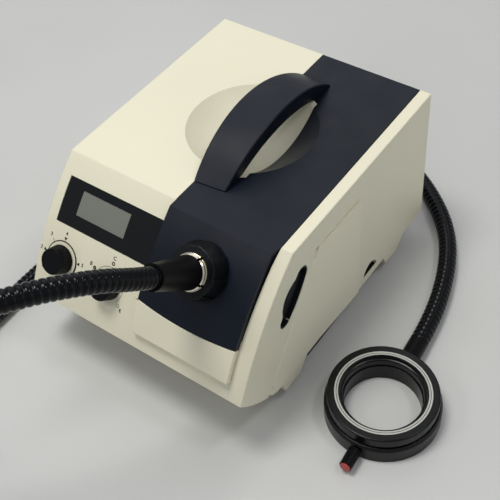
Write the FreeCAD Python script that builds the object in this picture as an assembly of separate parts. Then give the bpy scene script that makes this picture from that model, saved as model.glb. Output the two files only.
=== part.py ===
import FreeCAD, Part
import math
import os

# Fibre optic illuminator: a cold light source in a sloping plastic housing, its guide and its ring light.
# Lengths are in millimetres, angles in degrees. +X is right as seen from the front, +Y rear, +Z up.
# Shapes are drawn with Y = 0 on the crease where the flat top meets the curved front, and Z = 0 on the bench.
# Each one is moved by the frame origin, at the end of this file, when it is written out.

Vector = FreeCAD.Vector

# Housing
half_width = 100.0
top_z = 150.0
rear_y = 196.0
skin = 3.0
floor_z = 18.0
wall_z = 20.0
front_radius = 256.0
crease_slope = 39.7
chin_slope = 66.1
chin_middle_y, chin_middle_z = -46.5, 33.8
chin_rear_y = -19.0
wall_front_y = -22.5
seam_x = 0.8
seam_gap = 0.3
groove = 0.6
strip_x = 90.0
strip_low_x = 88.0
strip_edge = [(strip_x + groove, 0), (89.5, -10), (strip_low_x, -45), (strip_low_x, -100)]
inner_x = half_width - skin - seam_gap
panel_y = 190.0
panel_thickness = 2.5
boss = 10.0
boss_hole_radius = 2.0
boss_low_z = floor_z + skin + boss / 2 + 1
boss_high_z = top_z - skin - boss / 2
boss_x = half_width - skin - boss / 2

# Raised front of the dark cover, and the cream block under it
raised_lift = 5.0
raised_edge = [(strip_x, 0), (88.1, -7.7), (87.4, -60), (87.4, -100)]
raised_slope = 56.95
raised_sag = 3.8
raised_rest_slope = 55.6
block_slope = 63.2
block_foot_slope = 64.6
block_left_top_x, block_left_low_x = 0.2, 1.6
block_right_x = 87.6

# Carrying handle and the bowl under it
bowl_x, bowl_y = 2.6, 91.9
bowl_rim = 51.4
bowl_depth = 20.0
bowl_seam_x = 30.5
handle_x, handle_y = 13.9, 94.3
handle_left_x, handle_left_y = -4.0, 92.8
handle_left_half_length, handle_left_rise = 73.0, 27.5
handle_right_x, handle_right_y = 32.0, 94.3
handle_right_half_length, handle_right_rise = 70.8, 29.0
handle_gap_half_length = 50.0
handle_gap_rise = 11.8
handle_foot_half_width = 13.3
handle_top_half_width = 17.6
handle_screw_reach = 61.0
handle_screw_depth = 6.0

# Feet
foot_x = 84.0
foot_ys = (-6.5, 144.0)
foot_radius = 8.0
foot_height = 9.4

# Display
display_x0, display_x1 = -91.0, seam_x
display_slope0, display_slope1 = 43.7, 51.9
display_sunk = 0.5
glass_x0, glass_x1 = -75.6, -29.1
glass_slope0, glass_slope1 = 45.2, 49.6
glass_sunk = 0.8

# Knobs
knob_slope = 57.9
intensity_x = -77.3
aperture_x = -30.1
knob_radius = 11.6
knob_top_radius = 10.0
knob_height = 10.4
knob_lift = 0.6
shaft_radius = 3.0
running_gap = 0.06

# Rack and pinion that move the aperture vane
gear_module = 0.8
pinion_teeth = 14
pinion_radius = gear_module * pinion_teeth / 2
vane_z = -24.0
vane_thickness = 1.2

# Guide socket on the front: the slope it sits at, and the slope its axis stands square to
socket_x = 43.6
socket_slope = 47.9
socket_lean = 50.0
collet_radius = 13.6
collet_nose_radius = 13.0
collet_bore = 11.3
collet_step = 20.3
collet_top = 23.4
collar_radius, collar_end_radius = 22.0, 19.0
collar_z0, collar_z1 = 5.9, 20.0
collar_lobes = 8
collar_step = 0.9
collar_turn = 7.0
flange_top = 5.6

# Light guide
guide_diameter = 15.2
guide_floor_z = 8.2
plug_z0, plug_z1 = 16.0, 66.0
plug_seat = 62.0
plug_neck_radius = 11.0
plug_shoulder_z, plug_shoulder_radius = 25.6, 12.2
plug_end_radius = 9.3
ferrule_radius = 8.0

# Ring light
ring_x, ring_y = 166.1, 14.1
ring_radius = 43.9
ring_bore = 29.0
ring_split_z = 14.8
ring_top_z = 24.4
sleeve_turn = 94.0
sleeve_end = 64.0
screw_turn = -86.5
screw_z = 8.0
screw_shank_radius = 2.0

# Filter slider and lamp, along the optical axis
slider_y0, slider_y1 = -16.8, 18.6
slider_z0, slider_z1 = -38.3, -29.5
slider_x0, slider_x1 = 20.0, 96.5
filter_radius = 14.0
lamp_rim_z = -44.3
reflector_radius = 25.0
chassis_x0, chassis_x1 = 6.0, 8.0

# Lamp door on the right side
hinge_low_y, hinge_low_z = -36.7, 27.6
hinge_high_y, hinge_high_z = 31.2, 128.3
hinge_x = 98.2
barrel_radius = 1.8
barrel_start, barrel_end = 8.0, 112.0
door_pin_radius = 0.9
door_rear_y = 87.0
door_top_z = 127.0
door_low_z = 22.0
door_flare = 2.0
door_gap = 0.4

# Fan, mains inlet and switch on the rear panel
fan_x, fan_z = 44.0, 75.0
fan_half = 40.0
fan_depth = 25.0
fan_shaft_radius = 2.0
inlet_x, inlet_z = -60.0, 48.0
switch_x, switch_z = -60.0, 96.0
rocker_turn = 7.0
board_posts = [(-88, 4), (-88, 80), (-2, 4), (-2, 80)]

# The route of the guide on from its plug: points joined by arcs. Its ends follow from the plug and ring.
guide_middle = [
    (37.2, -117.4, 200.2),
    (16.8, -160.9, 217.0),
    (-25.3, -211.6, 207.0),
    (-76.6, -247.6, 140.6),
    (-111.6, -225.3, 47.7),
    (-132.0, -160.0, guide_floor_z),
    (-143.0, -112.0, guide_floor_z),
    (-145.5, -62.0, guide_floor_z),
    (-145.0, -8.0, guide_floor_z),
    (-147.0, 48.0, guide_floor_z),
    (-148.0, 104.0, guide_floor_z),
    (-144.0, 160.0, guide_floor_z),
    (-126.0, 212.0, guide_floor_z),
    (-88.0, 252.0, guide_floor_z),
    (-36.0, 272.0, guide_floor_z),
    (20.0, 270.0, guide_floor_z),
    (66.0, 248.0, guide_floor_z),
    (102.0, 222.0, guide_floor_z),
    (130.0, 191.0, guide_floor_z),
    (148.0, 152.0, guide_floor_z),
]


def sine(angle):
    return math.sin(math.radians(angle))


def cosine(angle):
    return math.cos(math.radians(angle))


def side(y, z):
    """A point of an outline that is drawn in side view."""
    return Vector(0, y, z)


def flat(x, y):
    """A point of an outline that is drawn in a local XY plane."""
    return Vector(x, y, 0)


def box(x0, x1, y0, y1, z0, z1):
    return Part.makeBox(x1 - x0, y1 - y0, z1 - z0, Vector(x0, y0, z0))


def rod(radius, z0, z1, x=0.0, y=0.0):
    return Part.makeCylinder(radius, z1 - z0, Vector(x, y, z0))


def tube(outer, inner, z0, z1, x=0.0, y=0.0):
    return rod(outer, z0, z1, x, y).cut(rod(inner, z0 - 1, z1 + 1, x, y))


def cone(radius0, radius1, z0, z1):
    return Part.makeCone(radius0, radius1, z1 - z0, Vector(0, 0, z0))


def outline(start, *steps):
    """A closed wire. Each step is the next corner, or the middle and the end of an arc."""
    edges = []
    here = start
    for step in steps:
        if isinstance(step, tuple):
            middle, end = step
            edges.append(Part.Arc(here, middle, end).toShape())
        else:
            end = step
            edges.append(Part.LineSegment(here, end).toShape())
        here = end
    if here.distanceToPoint(start) > 1e-6:
        edges.append(Part.LineSegment(here, start).toShape())
    return Part.Wire(edges)


def across(wire, x0, x1):
    """A side view outline made solid between two X values."""
    face = Part.Face(wire)
    face.translate(Vector(x0, 0, 0))
    return face.extrude(Vector(x1 - x0, 0, 0))


def upright(wire, z0, z1):
    """A flat outline made solid between two local Z values."""
    face = Part.Face(wire)
    face.translate(Vector(0, 0, z0))
    return face.extrude(Vector(0, 0, z1 - z0))


def turned(points):
    """A solid of revolution about local Z, from corners given as (radius, z)."""
    corners = [Vector(radius, 0, z) for radius, z in points]
    return Part.Face(outline(*corners)).revolve(Vector(0, 0, 0), Vector(0, 0, 1), 360)


def placed(shape, placement):
    moved = shape.copy()
    moved.Placement = placement.multiply(shape.Placement)
    return moved


def spun(shape, angle):
    """The shape turned about the local Z axis."""
    return placed(shape, FreeCAD.Placement(Vector(0, 0, 0), FreeCAD.Rotation(Vector(0, 0, 1), angle)))


def joined(*shapes):
    return shapes[0].fuse(list(shapes[1:])).removeSplitter()


# The curved front is an arc about an axis inside the housing, so a place on it is given by its slope.
front_centre = side(front_radius * sine(crease_slope), top_z - front_radius * cosine(crease_slope))


def on_front(slope, lift=0.0):
    reach = front_radius + lift
    return side(front_centre.y - reach * sine(slope), front_centre.z + reach * cosine(slope))


def slope_at(level, lift):
    """The slope where the front, raised by a lift, comes up to a level."""
    return math.degrees(math.acos((level - front_centre.z) / (front_radius + lift)))


def front_frame(x, slope, lean=None):
    """A local frame on the front: X to the right, Y up the slope and Z straight out, or leaning a little."""
    origin = on_front(slope)
    turn = slope if lean is None else lean
    return FreeCAD.Placement(Vector(x, origin.y, origin.z), FreeCAD.Rotation(Vector(1, 0, 0), turn))


def rear_frame(x, z, y=panel_y):
    """A local frame on the rear panel, with Z pointing to the rear and Y down."""
    return FreeCAD.Placement(Vector(x, y, z), FreeCAD.Rotation(Vector(1, 0, 0), -90))


def ring_frame(turn, z):
    """A local frame at the ring light's centre, with Z pointing outwards at an angle from +X."""
    outwards = FreeCAD.Rotation(Vector(0, 0, 1), turn).multiply(FreeCAD.Rotation(Vector(0, 1, 0), 90))
    return FreeCAD.Placement(Vector(ring_x, ring_y, z), outwards)


socket_frame = front_frame(socket_x, socket_slope, socket_lean)
intensity_frame = front_frame(intensity_x, knob_slope)
aperture_frame = front_frame(aperture_x, knob_slope)
hinge_lean = math.degrees(math.atan2(hinge_high_y - hinge_low_y, hinge_high_z - hinge_low_z))
hinge_frame = FreeCAD.Placement(
    Vector(hinge_x, hinge_low_y, hinge_low_z), FreeCAD.Rotation(Vector(1, 0, 0), -hinge_lean)
)


def front_strip(slope0, slope1, outer, inner, x0, x1):
    """A piece of the front between two slopes and two lifts."""
    middle = (slope0 + slope1) / 2
    wire = outline(
        on_front(slope0, outer),
        (on_front(middle, outer), on_front(slope1, outer)),
        on_front(slope1, inner),
        (on_front(middle, inner), on_front(slope0, inner)),
    )
    return across(wire, x0, x1)


def wrap(last_slope, x0, x1):
    """The top and front skin, from the rear edge to the crease and down to a slope of the front."""
    top = box(x0, x1, 0, rear_y, top_z - skin, top_z)
    inner_crease = on_front(slope_at(top_z - skin, -skin), -skin).y
    middle = (crease_slope + last_slope) / 2
    wire = outline(
        side(inner_crease + skin, top_z),
        on_front(crease_slope),
        (on_front(middle), on_front(last_slope)),
        on_front(last_slope, -skin),
        (on_front(middle, -skin), side(inner_crease, top_z - skin)),
        side(inner_crease + skin, top_z - skin),
    )
    return joined(top.common(box(x0, x1, inner_crease + skin, rear_y, 0, top_z)), across(wire, x0, x1))


def side_panel(x0, x1):
    """The side view of the whole housing, as a plate."""
    wire = outline(
        side(rear_y, wall_z),
        side(rear_y, top_z),
        on_front(crease_slope),
        (on_front((crease_slope + chin_slope) / 2), on_front(chin_slope)),
        (side(chin_middle_y, chin_middle_z), side(wall_front_y, wall_z)),
    )
    return across(wire, x0, x1)


bowl_radius = (bowl_rim ** 2 + bowl_depth ** 2) / (2 * bowl_depth)
bowl_centre = Vector(bowl_x, bowl_y, top_z - bowl_depth + bowl_radius)


def bowl_ball(extra):
    return Part.makeSphere(bowl_radius + extra, bowl_centre)


def bowl_part(x0, x1):
    """The bowl's own skin between two X values."""
    reach = bowl_rim + 2 * skin
    room = box(x0, x1, bowl_y - reach, bowl_y + reach, top_z - bowl_depth - 2 * skin, top_z)
    return bowl_ball(skin).cut(bowl_ball(0)).common(room)


def rear_bosses(x0, x1):
    """Two blocks inside the rear edge of a cover, which the rear panel's screws go into."""
    blocks = []
    middle = (x0 + x1) / 2
    for z in (boss_low_z, boss_high_z):
        block = box(x0, x1, panel_y - boss, panel_y, z - boss / 2, z + boss / 2)
        hole = placed(rod(boss_hole_radius, -2 * boss, 1), rear_frame(middle, z))
        blocks.append(block.cut(hole))
    return blocks


def right_of(edge):
    """All that lies to the right of an edge given in plan, and of the line straight back from its start."""
    start_x = edge[0][0]
    corners = [(start_x, rear_y + 1)] + edge + [(2 * half_width, -100), (2 * half_width, rear_y + 1)]
    return upright(outline(*[flat(x, y) for x, y in corners]), 0, top_z + 1)


def below_raised_edge(gap):
    """All that lies below the curved lower edge of the raised front."""
    end_y, middle_y = gap, gap - raised_sag
    middle_x = (seam_x + strip_low_x) / 2
    wire = outline(
        flat(-10, -60),
        flat(110, -60),
        flat(110, end_y),
        flat(strip_low_x, end_y),
        (flat(middle_x, middle_y), flat(seam_x, end_y)),
        flat(-10, end_y),
    )
    return placed(upright(wire, -20, 20), front_frame(0, raised_slope))


def make_cream_cover():
    wall_x = -half_width + skin
    reach = bowl_rim + 2 * skin
    wall = side_panel(-half_width, wall_x)
    top_and_front = wrap(chin_slope, wall_x, seam_x)
    chin = front_strip(raised_rest_slope, chin_slope, 0, -skin, seam_x, strip_low_x - 0.05)
    bowl = bowl_part(bowl_x - reach, bowl_seam_x)
    shell = joined(wall, top_and_front, chin, bowl, *rear_bosses(wall_x, wall_x + boss))
    window = front_strip(display_slope0, display_slope1, 1, -skin - 1, display_x0, display_x1 + 1)
    bushes = [placed(rod(shaft_radius + 2, -10, 5), frame) for frame in (intensity_frame, aperture_frame)]
    return shell.cut([bowl_ball(0), window] + bushes)


def raised_front():
    """The lid over the guide socket: proud of the light covers, down to them at its edges."""
    x0, x1 = seam_x + seam_gap, strip_x
    last_slope = raised_slope + 2.0
    inner_slope = raised_slope - 0.8
    inner_x1 = strip_low_x - skin - 1
    under_top = box(x0, x1, -100, 50, 0, top_z)
    body = front_strip(crease_slope, last_slope, raised_lift, -skin, x0, x1).common(under_top)
    body = body.cut([right_of(raised_edge), below_raised_edge(0)])
    room = front_strip(crease_slope, inner_slope, raised_lift - skin, -skin - 1, x0 + skin, inner_x1)
    room = room.common(box(x0, x1, -100, 50, 0, top_z - skin))
    rest = front_strip(raised_rest_slope - 0.2, last_slope + 1, seam_gap, -skin - 1, x0 - 1, x1 + 1)
    ledge = front_strip(crease_slope, raised_rest_slope - 0.2, 0, -skin, inner_x1, x1)
    beyond_ledge = [(x - groove, y) for x, y in strip_edge]
    return joined(body.cut([room, rest]), ledge.cut(right_of(beyond_ledge)))


def make_dark_cover():
    reach = bowl_rim + 2 * skin
    top = box(seam_x + seam_gap, strip_x, -1, rear_y, top_z - skin, top_z)
    cream_side = box(-half_width, bowl_seam_x + seam_gap, 0, rear_y, 0, top_z + 1)
    top = top.cut(bowl_ball(skin + seam_gap).common(cream_side))
    shell = joined(top, raised_front(), bowl_part(bowl_seam_x + seam_gap, bowl_x + reach))
    socket_hole = placed(rod(20.2, -12, 12), socket_frame)
    screw_holes = [rod(2.7, top_z - 10, top_z + 1, handle_x, y) for y in handle_screw_ys]
    return shell.cut([bowl_ball(0), socket_hole] + screw_holes)


handle_screw_ys = (handle_y - handle_screw_reach, handle_y + handle_screw_reach)


def handle_arch(x, y, half_length, rise):
    """The side view of the handle at one of its two edges."""
    wire = outline(
        side(y - half_length, top_z),
        (side(y, top_z + rise), side(y + half_length, top_z)),
        side(handle_y + handle_gap_half_length, top_z),
        (side(handle_y, top_z + handle_gap_rise), side(handle_y - handle_gap_half_length, top_z)),
    )
    wire.translate(Vector(x, 0, 0))
    return wire


def make_handle():
    left = handle_arch(handle_left_x, handle_left_y, handle_left_half_length, handle_left_rise)
    right = handle_arch(handle_right_x, handle_right_y, handle_right_half_length, handle_right_rise)
    arch = Part.makeLoft([left, right], True, True)
    high_z = top_z + handle_right_rise
    section = outline(
        Vector(handle_x - handle_foot_half_width, 0, top_z),
        Vector(handle_x + handle_foot_half_width, 0, top_z),
        Vector(handle_x + handle_top_half_width, 0, high_z),
        Vector(handle_x - handle_top_half_width, 0, high_z),
    )
    handle = arch.common(Part.Face(section).extrude(Vector(0, rear_y, 0)))
    hole_top = top_z + handle_screw_depth + seam_gap
    return handle.cut([rod(2.52, top_z - 1, hole_top, handle_x, y) for y in handle_screw_ys])


def make_handle_screws():
    screws = []
    for y in handle_screw_ys:
        head = rod(4.0, top_z - skin - 3.5, top_z - skin, handle_x, y)
        shank = rod(2.5, top_z - skin, top_z + handle_screw_depth, handle_x, y)
        screws.append(joined(head, shank))
    return Part.makeCompound(screws)


def slot_outline():
    """The filter slot in the local frame of the guide socket: long along Y, with a bulge for a finger."""
    return outline(
        side(-17.5, -38.6),
        (side(0.5, -40.9), side(18.5, -39.2)),
        (side(25.8, -31.4), side(20.5, -24.6)),
        side(15.5, -24.3),
        (side(1.8, -19.1), side(-12.0, -24.9)),
        side(-16.5, -25.7),
        (side(-23.0, -31.5), side(-17.5, -38.6)),
    )


def door_region(front, gap, low_z):
    """All that lies behind the hinge line, below the door's top edge and before its rear edge."""
    behind = placed(box(-20, 20, front, 300, -100, 300), hinge_frame)
    return behind.common(box(0, 2 * half_width, -100, door_rear_y + gap, low_z, door_top_z + gap))


def make_right_cover():
    wall_x = half_width - skin
    wall = side_panel(wall_x, half_width)
    strip = wrap(chin_slope, strip_low_x - 1, wall_x).common(right_of(strip_edge))
    slot = across(slot_outline(), wall_x - socket_x - 10, half_width - socket_x + 10)
    notch_wire = outline(side(97.6, 26.4), side(118.2, 26.4), (side(107.9, 36.5), side(97.6, 26.4)))
    notch = across(notch_wire, wall_x - 1, half_width + 1)
    notch_relief = box(wall_x - 1, half_width - 0.8, 97.6, 118.2, 0, 27)
    doorway = door_region(-barrel_radius - door_gap, door_gap, 0)
    doorway = doorway.common(box(wall_x - 1, 110, -100, 200, 0, 200))
    shell = joined(wall, strip, *rear_bosses(wall_x - boss, wall_x))
    shell = shell.cut([placed(slot, socket_frame), notch, notch_relief, doorway])
    lug_reach = barrel_radius + door_gap + 0.2
    lugs = [
        placed(box(-barrel_radius, barrel_radius, -lug_reach, barrel_radius, z0, z1), hinge_frame)
        for z0, z1 in ((1.5, barrel_start - door_gap), (barrel_end + door_gap, barrel_end + 6.5))
    ]
    shell = joined(shell, *lugs)
    return shell.cut(placed(rod(door_pin_radius, -20, 140), hinge_frame))


def make_lamp_door():
    inner = half_width - skin + 0.2
    region = door_region(barrel_radius + 1.0, 0, door_low_z)
    flare = upright(
        outline(
            flat(half_width, hinge_high_y),
            flat(half_width + door_flare, door_rear_y),
            flat(half_width - 1, door_rear_y),
            flat(half_width - 1, hinge_high_y),
        ),
        door_low_z,
        door_top_z,
    )
    plate = joined(side_panel(inner, half_width), flare).common(region)
    web = placed(box(-1.0, 1.8, 0, barrel_radius + 1.5, barrel_start, barrel_end), hinge_frame)
    barrel = placed(rod(barrel_radius, barrel_start, barrel_end), hinge_frame)
    door = joined(plate, web, barrel)
    return door.cut(placed(rod(door_pin_radius + running_gap, -20, 140), hinge_frame))


def make_door_pins():
    pins = [rod(door_pin_radius, 2.0, 16.0), rod(door_pin_radius, 104.0, 118.0)]
    return Part.makeCompound([placed(pin, hinge_frame) for pin in pins])


def pod(y0, y1, y2, y3, x0, x1, high_z):
    """A foot housing under the floor, narrower at its underside."""
    wire = outline(side(y0, high_z), side(y1, foot_height), side(y2, foot_height), side(y3, high_z))
    return across(wire, x0, x1)


def make_base_pan():
    chin_x = inner_x - 0.6
    pan = box(-inner_x, inner_x, chin_rear_y, rear_y - skin, floor_z, floor_z + skin)
    chin = outline(
        side(chin_rear_y, floor_z),
        (side(chin_middle_y, chin_middle_z), on_front(chin_slope)),
        on_front(chin_slope - 1.0, -skin),
        (side(chin_middle_y + 2.0, chin_middle_z + 2.6), side(chin_rear_y + 1.0, floor_z + skin)),
    )
    chin = across(chin, -chin_x, chin_x).cut(front_strip(55, 70, 2, -skin - seam_gap, -150, 150))
    pods = []
    pod_x = half_width - 0.4
    for x0, x1, front_high_z in ((-pod_x, -70.0, wall_z), (70.0, pod_x, door_low_z - 0.4)):
        pods.append(pod(-20.0, -15.9, 2.9, 14.0, x0, x1, front_high_z))
        pods.append(pod(131.0, 135.5, 152.5, 165.8, x0, x1, wall_z))
    pan = joined(pan, chin, *pods)
    intake = [box(x, x + 4, 20, 80, floor_z - 1, floor_z + skin + 1) for x in range(-40, 0, 9)]
    return pan.cut(intake)


def make_rubber_feet():
    feet = []
    for x in (-foot_x, foot_x):
        for y in foot_ys:
            foot = cone(foot_radius - 0.8, foot_radius, 0, foot_height)
            foot.translate(Vector(x, y, 0))
            feet.append(foot)
    return Part.makeCompound(feet)


def make_rear_panel():
    low, high = floor_z + skin + 0.2, top_z - skin - 0.2
    panel = box(-inner_x, inner_x, panel_y, panel_y + panel_thickness, low, high)
    slots = [tube(radius, radius - 4, -1, panel_thickness + 1) for radius in (36, 29, 22)]
    spokes = [spun(box(-2, 2, -40, 40, -2, 5), angle) for angle in (0, 45, 90, 135)]
    grille = slots[0].fuse(slots[1:]).cut(spokes)
    inlet_hole = box(-14.2, 14.2, -16.2, 16.2, -1, 5)
    switch_hole = box(-10.2, 10.2, -14.2, 14.2, -1, 5)
    holes = [
        placed(grille, rear_frame(fan_x, fan_z)),
        placed(inlet_hole, rear_frame(inlet_x, inlet_z)),
        placed(switch_hole, rear_frame(switch_x, switch_z)),
    ]
    for x in (-boss_x, boss_x):
        for z in (boss_low_z, boss_high_z):
            holes.append(placed(rod(boss_hole_radius + 0.3, -1, 5), rear_frame(x, z)))
    return panel.cut(holes)


def make_panel_screws():
    screws = []
    for x in (-boss_x, boss_x):
        for z in (boss_low_z, boss_high_z):
            head = cone(3.6, 2.8, panel_thickness, panel_thickness + 2.2)
            cross = joined(box(-2, 2, -0.4, 0.4, 3.7, 5), box(-0.4, 0.4, -2, 2, 3.7, 5))
            screw = joined(head, rod(boss_hole_radius, -8, panel_thickness)).cut(cross)
            screws.append(placed(screw, rear_frame(x, z)))
    return Part.makeCompound(screws)


def make_trim_block():
    """The raised block low on the front. It carries on from the dark front, and slants back below."""
    rest = 0.02
    first_slope = raised_slope - 1.0
    middle = (first_slope + block_slope) / 2
    wire = outline(
        on_front(first_slope, raised_lift),
        (on_front(middle, raised_lift), on_front(block_slope, raised_lift)),
        on_front(block_foot_slope, rest),
        (on_front(middle, rest), on_front(first_slope, rest)),
    )
    block = across(wire, 0, block_right_x).common(below_raised_edge(-seam_gap))
    ends = outline(
        flat(block_left_top_x, 15),
        flat(block_left_low_x, -15),
        flat(block_right_x + 1, -15),
        flat(block_right_x + 1, 15),
    )
    return block.common(placed(upright(ends, -10, 20), front_frame(0, middle)))


def make_display_bezel():
    front = front_strip(
        display_slope0 + 0.06, display_slope1 - 0.06, -display_sunk, -skin, display_x0 + 0.3, display_x1 - 0.2
    )
    flange = front_strip(display_slope0 - 0.6, display_slope1 + 0.6, -skin - 0.05, -skin - 1.6, -93.5, -4.0)
    bridge = front_strip(display_slope0 + 0.3, display_slope1 - 0.3, -skin + 0.2, -skin - 0.3, -90.0, -5.0)
    window = front_strip(glass_slope0, glass_slope1, 1, -8, glass_x0, glass_x1)
    return joined(front, bridge, flange).cut(window)


def make_display_glass():
    low = -glass_sunk - 2.0
    x0, x1 = glass_x0 + 0.2, glass_x1 - 0.2
    return front_strip(glass_slope0 + 0.03, glass_slope1 - 0.03, -glass_sunk, low, x0, x1)


def make_display_board():
    frame = front_frame(0, (display_slope0 + display_slope1) / 2)
    board = box(-88, -12, -16, 16, -13.6, -12)
    lit_block = box(glass_x0, glass_x1, -10, 10, -12, -6.2)
    posts = [rod(2.5, -12, -5.6, x, y) for x in (-84, -18) for y in (-12, 12)]
    return placed(joined(board, lit_block, *posts), frame)


def ribbed_knob(radius, top_radius, z0, z1, ribs, groove_radius):
    """A tapered knob whose side carries fine grooves."""
    body = cone(radius, top_radius, z0, z1)
    foot = Vector(radius + 0.05, 0, z0 + 1.5)
    head = Vector(top_radius + 0.05, 0, z1 - 0.8)
    groove = Part.makeCylinder(groove_radius, (head - foot).Length, foot, head - foot)
    return body.cut([spun(groove, number * 360.0 / ribs) for number in range(ribs)])


def make_knob(pointer_turn):
    knob = ribbed_knob(knob_radius, knob_top_radius, knob_lift, knob_lift + knob_height, 36, 0.55)
    notch = box(knob_top_radius - 4.5, knob_radius + 1, -0.8, 0.8, knob_height - 1.2, knob_height + 2)
    return knob.cut([spun(notch, pointer_turn), rod(shaft_radius, -1, knob_height - 2.5)])


def make_intensity_knob():
    return placed(make_knob(175.0), intensity_frame)


def make_intensity_shaft():
    return placed(rod(shaft_radius, -17, knob_height - 2.5), intensity_frame)


def make_aperture_knob():
    return placed(make_knob(90.0), aperture_frame)


def make_shaft_bushings():
    bore = shaft_radius + running_gap
    bush = joined(tube(4.9, bore, -8, 0), tube(8, bore, -8, -skin - 0.2))
    return Part.makeCompound([placed(bush, frame) for frame in (intensity_frame, aperture_frame)])


def make_potentiometer():
    body = tube(11.5, shaft_radius + running_gap, -19.9, -8.1)
    lugs = [box(x, x + 1.5, -16, -10, -19.9, -18.5) for x in (-6, -0.75, 4.5)]
    return placed(joined(body, *lugs), intensity_frame)


def make_control_board():
    board = box(-17, 30, -26, 20, -21.5, -19.9)
    chips = [box(16, 24, -20, -8, -19.9, -17.5), box(15, 25, 6, 12, -19.9, -16.5)]
    return placed(joined(board, *chips), intensity_frame)


def involute_flank(base_radius, radius, offset):
    """A point of an involute, turned by an offset angle in radians."""
    roll = math.sqrt(max((radius / base_radius) ** 2 - 1, 0.0))
    angle = offset + roll - math.atan(roll)
    return radius * math.cos(angle), radius * math.sin(angle)


def make_aperture_shaft():
    """The knob's shaft with its pinion cut in one piece. A tooth space points straight up at rest."""
    pressure = math.radians(20)
    base_radius = pinion_radius * math.cos(pressure)
    tip_radius = pinion_radius + 0.85 * gear_module
    root_radius = pinion_radius - 1.25 * gear_module
    play = 0.02
    half_tooth = math.pi / pinion_teeth / 2 - play
    flank_start = -(half_tooth + math.tan(pressure) - pressure)
    radii = [base_radius, (base_radius + tip_radius) / 2, tip_radius]
    teeth = []
    for number in range(pinion_teeth):
        right = [involute_flank(base_radius, radius, flank_start) for radius in radii]
        left = [(x, -y) for x, y in reversed(right)]
        root_x = root_radius - 0.3
        corners = [Vector(root_x, right[0][1], 0)]
        corners += [Vector(x, y, 0) for x, y in right + left]
        corners += [Vector(root_x, left[-1][1], 0)]
        tooth = upright(outline(*corners), vane_z - 2.6, vane_z + 1.4)
        first_turn = 90 + 180 / pinion_teeth
        teeth.append(spun(tooth, first_turn + number * 360 / pinion_teeth))
    hub = rod(root_radius, vane_z - 2.6, vane_z + 1.4)
    shaft = rod(shaft_radius, vane_z - 4.0, knob_height - 2.5)
    return placed(joined(shaft, hub, *teeth), aperture_frame)


def make_aperture_vane():
    """A sliding plate: a rack along its lower edge, and a tapering window that crosses the light path."""
    z0, z1 = vane_z - vane_thickness, vane_z
    pitch = math.pi * gear_module
    root_y = pinion_radius + 1.15 * gear_module
    tip_y = pinion_radius - 0.85 * gear_module
    lean = math.tan(math.radians(20))
    play = 0.06
    bar = box(-22, 92, root_y, 16, z0, z1)
    head = box(44, 92, 15, 62, z0, z1)
    teeth = []
    for number in range(-7, 8):
        middle = number * pitch
        half_pitch_width = pitch / 4 - play
        low = half_pitch_width - (pinion_radius - tip_y) * lean
        high = half_pitch_width + (root_y + 0.2 - pinion_radius) * lean
        corners = [
            flat(middle - low, tip_y),
            flat(middle + low, tip_y),
            flat(middle + high, root_y + 0.2),
            flat(middle - high, root_y + 0.2),
        ]
        teeth.append(upright(outline(*corners), z0, z1))
    window_x, window_y = socket_x - aperture_x, 41.6
    wide, narrow = 12.5, 2.0
    wide_x, narrow_x = window_x - 13.0, window_x + 13.0
    window = joined(
        rod(wide, z0 - 1, z1 + 1, wide_x, window_y),
        rod(narrow, z0 - 1, z1 + 1, narrow_x, window_y),
        upright(
            outline(
                flat(wide_x, window_y - wide),
                flat(narrow_x, window_y - narrow),
                flat(narrow_x, window_y + narrow),
                flat(wide_x, window_y + wide),
            ),
            z0 - 1,
            z1 + 1,
        ),
    )
    return placed(joined(bar, head, *teeth).cut(window), aperture_frame)


def make_aperture_guide():
    """The channel that the vane's bar slides in, and the tab that joins it to the chassis plate."""
    plate_x = chassis_x0 - aperture_x
    back = box(-34, plate_x, 8.5, 19.5, vane_z - 3.0, vane_z - vane_thickness - 0.3)
    edge = box(-34, 30, 16.3, 19.5, vane_z - 3.0, vane_z + 1.6)
    lip = box(-34, 30, 14.0, 19.5, vane_z + 0.3, vane_z + 1.6)
    tab = box(plate_x - 2.0, plate_x, 8.5, 19.5, vane_z - 14.0, vane_z - 3.0)
    return placed(joined(back, edge, lip, tab), aperture_frame)


def make_socket_flange():
    inner = collet_radius + 0.02
    body = joined(tube(20.0, inner, -10, flange_top), tube(27.0, inner, -10, -5.2))
    return placed(body, socket_frame)


def make_collet():
    body = turned([
        (collet_bore, -13),
        (collet_radius, -13),
        (collet_radius, collet_step),
        (collet_nose_radius, collet_step),
        (collet_nose_radius, collet_top - 1.0),
        (collet_nose_radius - 0.8, collet_top),
        (collet_bore, collet_top),
    ])
    slots = [spun(box(-16, 16, -1, 1, 12, collet_top + 1), angle) for angle in (68, 158)]
    return placed(body.cut(slots), socket_frame)


def lobed_outline(radius, z):
    """The collar seen from its end: every lobe swells round to a small step, which a finger catches on."""
    low, high = radius - collar_step, radius
    pitch = 360 / collar_lobes
    steps = []
    for number in range(collar_lobes):
        start = collar_turn + number * pitch
        swell = high - 0.25 * collar_step
        middle = Vector(swell * cosine(start + pitch * 0.55), swell * sine(start + pitch * 0.55), z)
        end = Vector(high * cosine(start + pitch), high * sine(start + pitch), z)
        steps.append((middle, end))
        steps.append(Vector(low * cosine(start + pitch), low * sine(start + pitch), z))
    return outline(steps[-1], *steps)


def make_collar():
    wires = [lobed_outline(collar_radius, collar_z0), lobed_outline(collar_end_radius, collar_z1)]
    body = Part.makeLoft(wires, True, True)
    bore = rod(collet_radius + running_gap, 0, 30)
    return placed(body.cut(bore), socket_frame)


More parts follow.
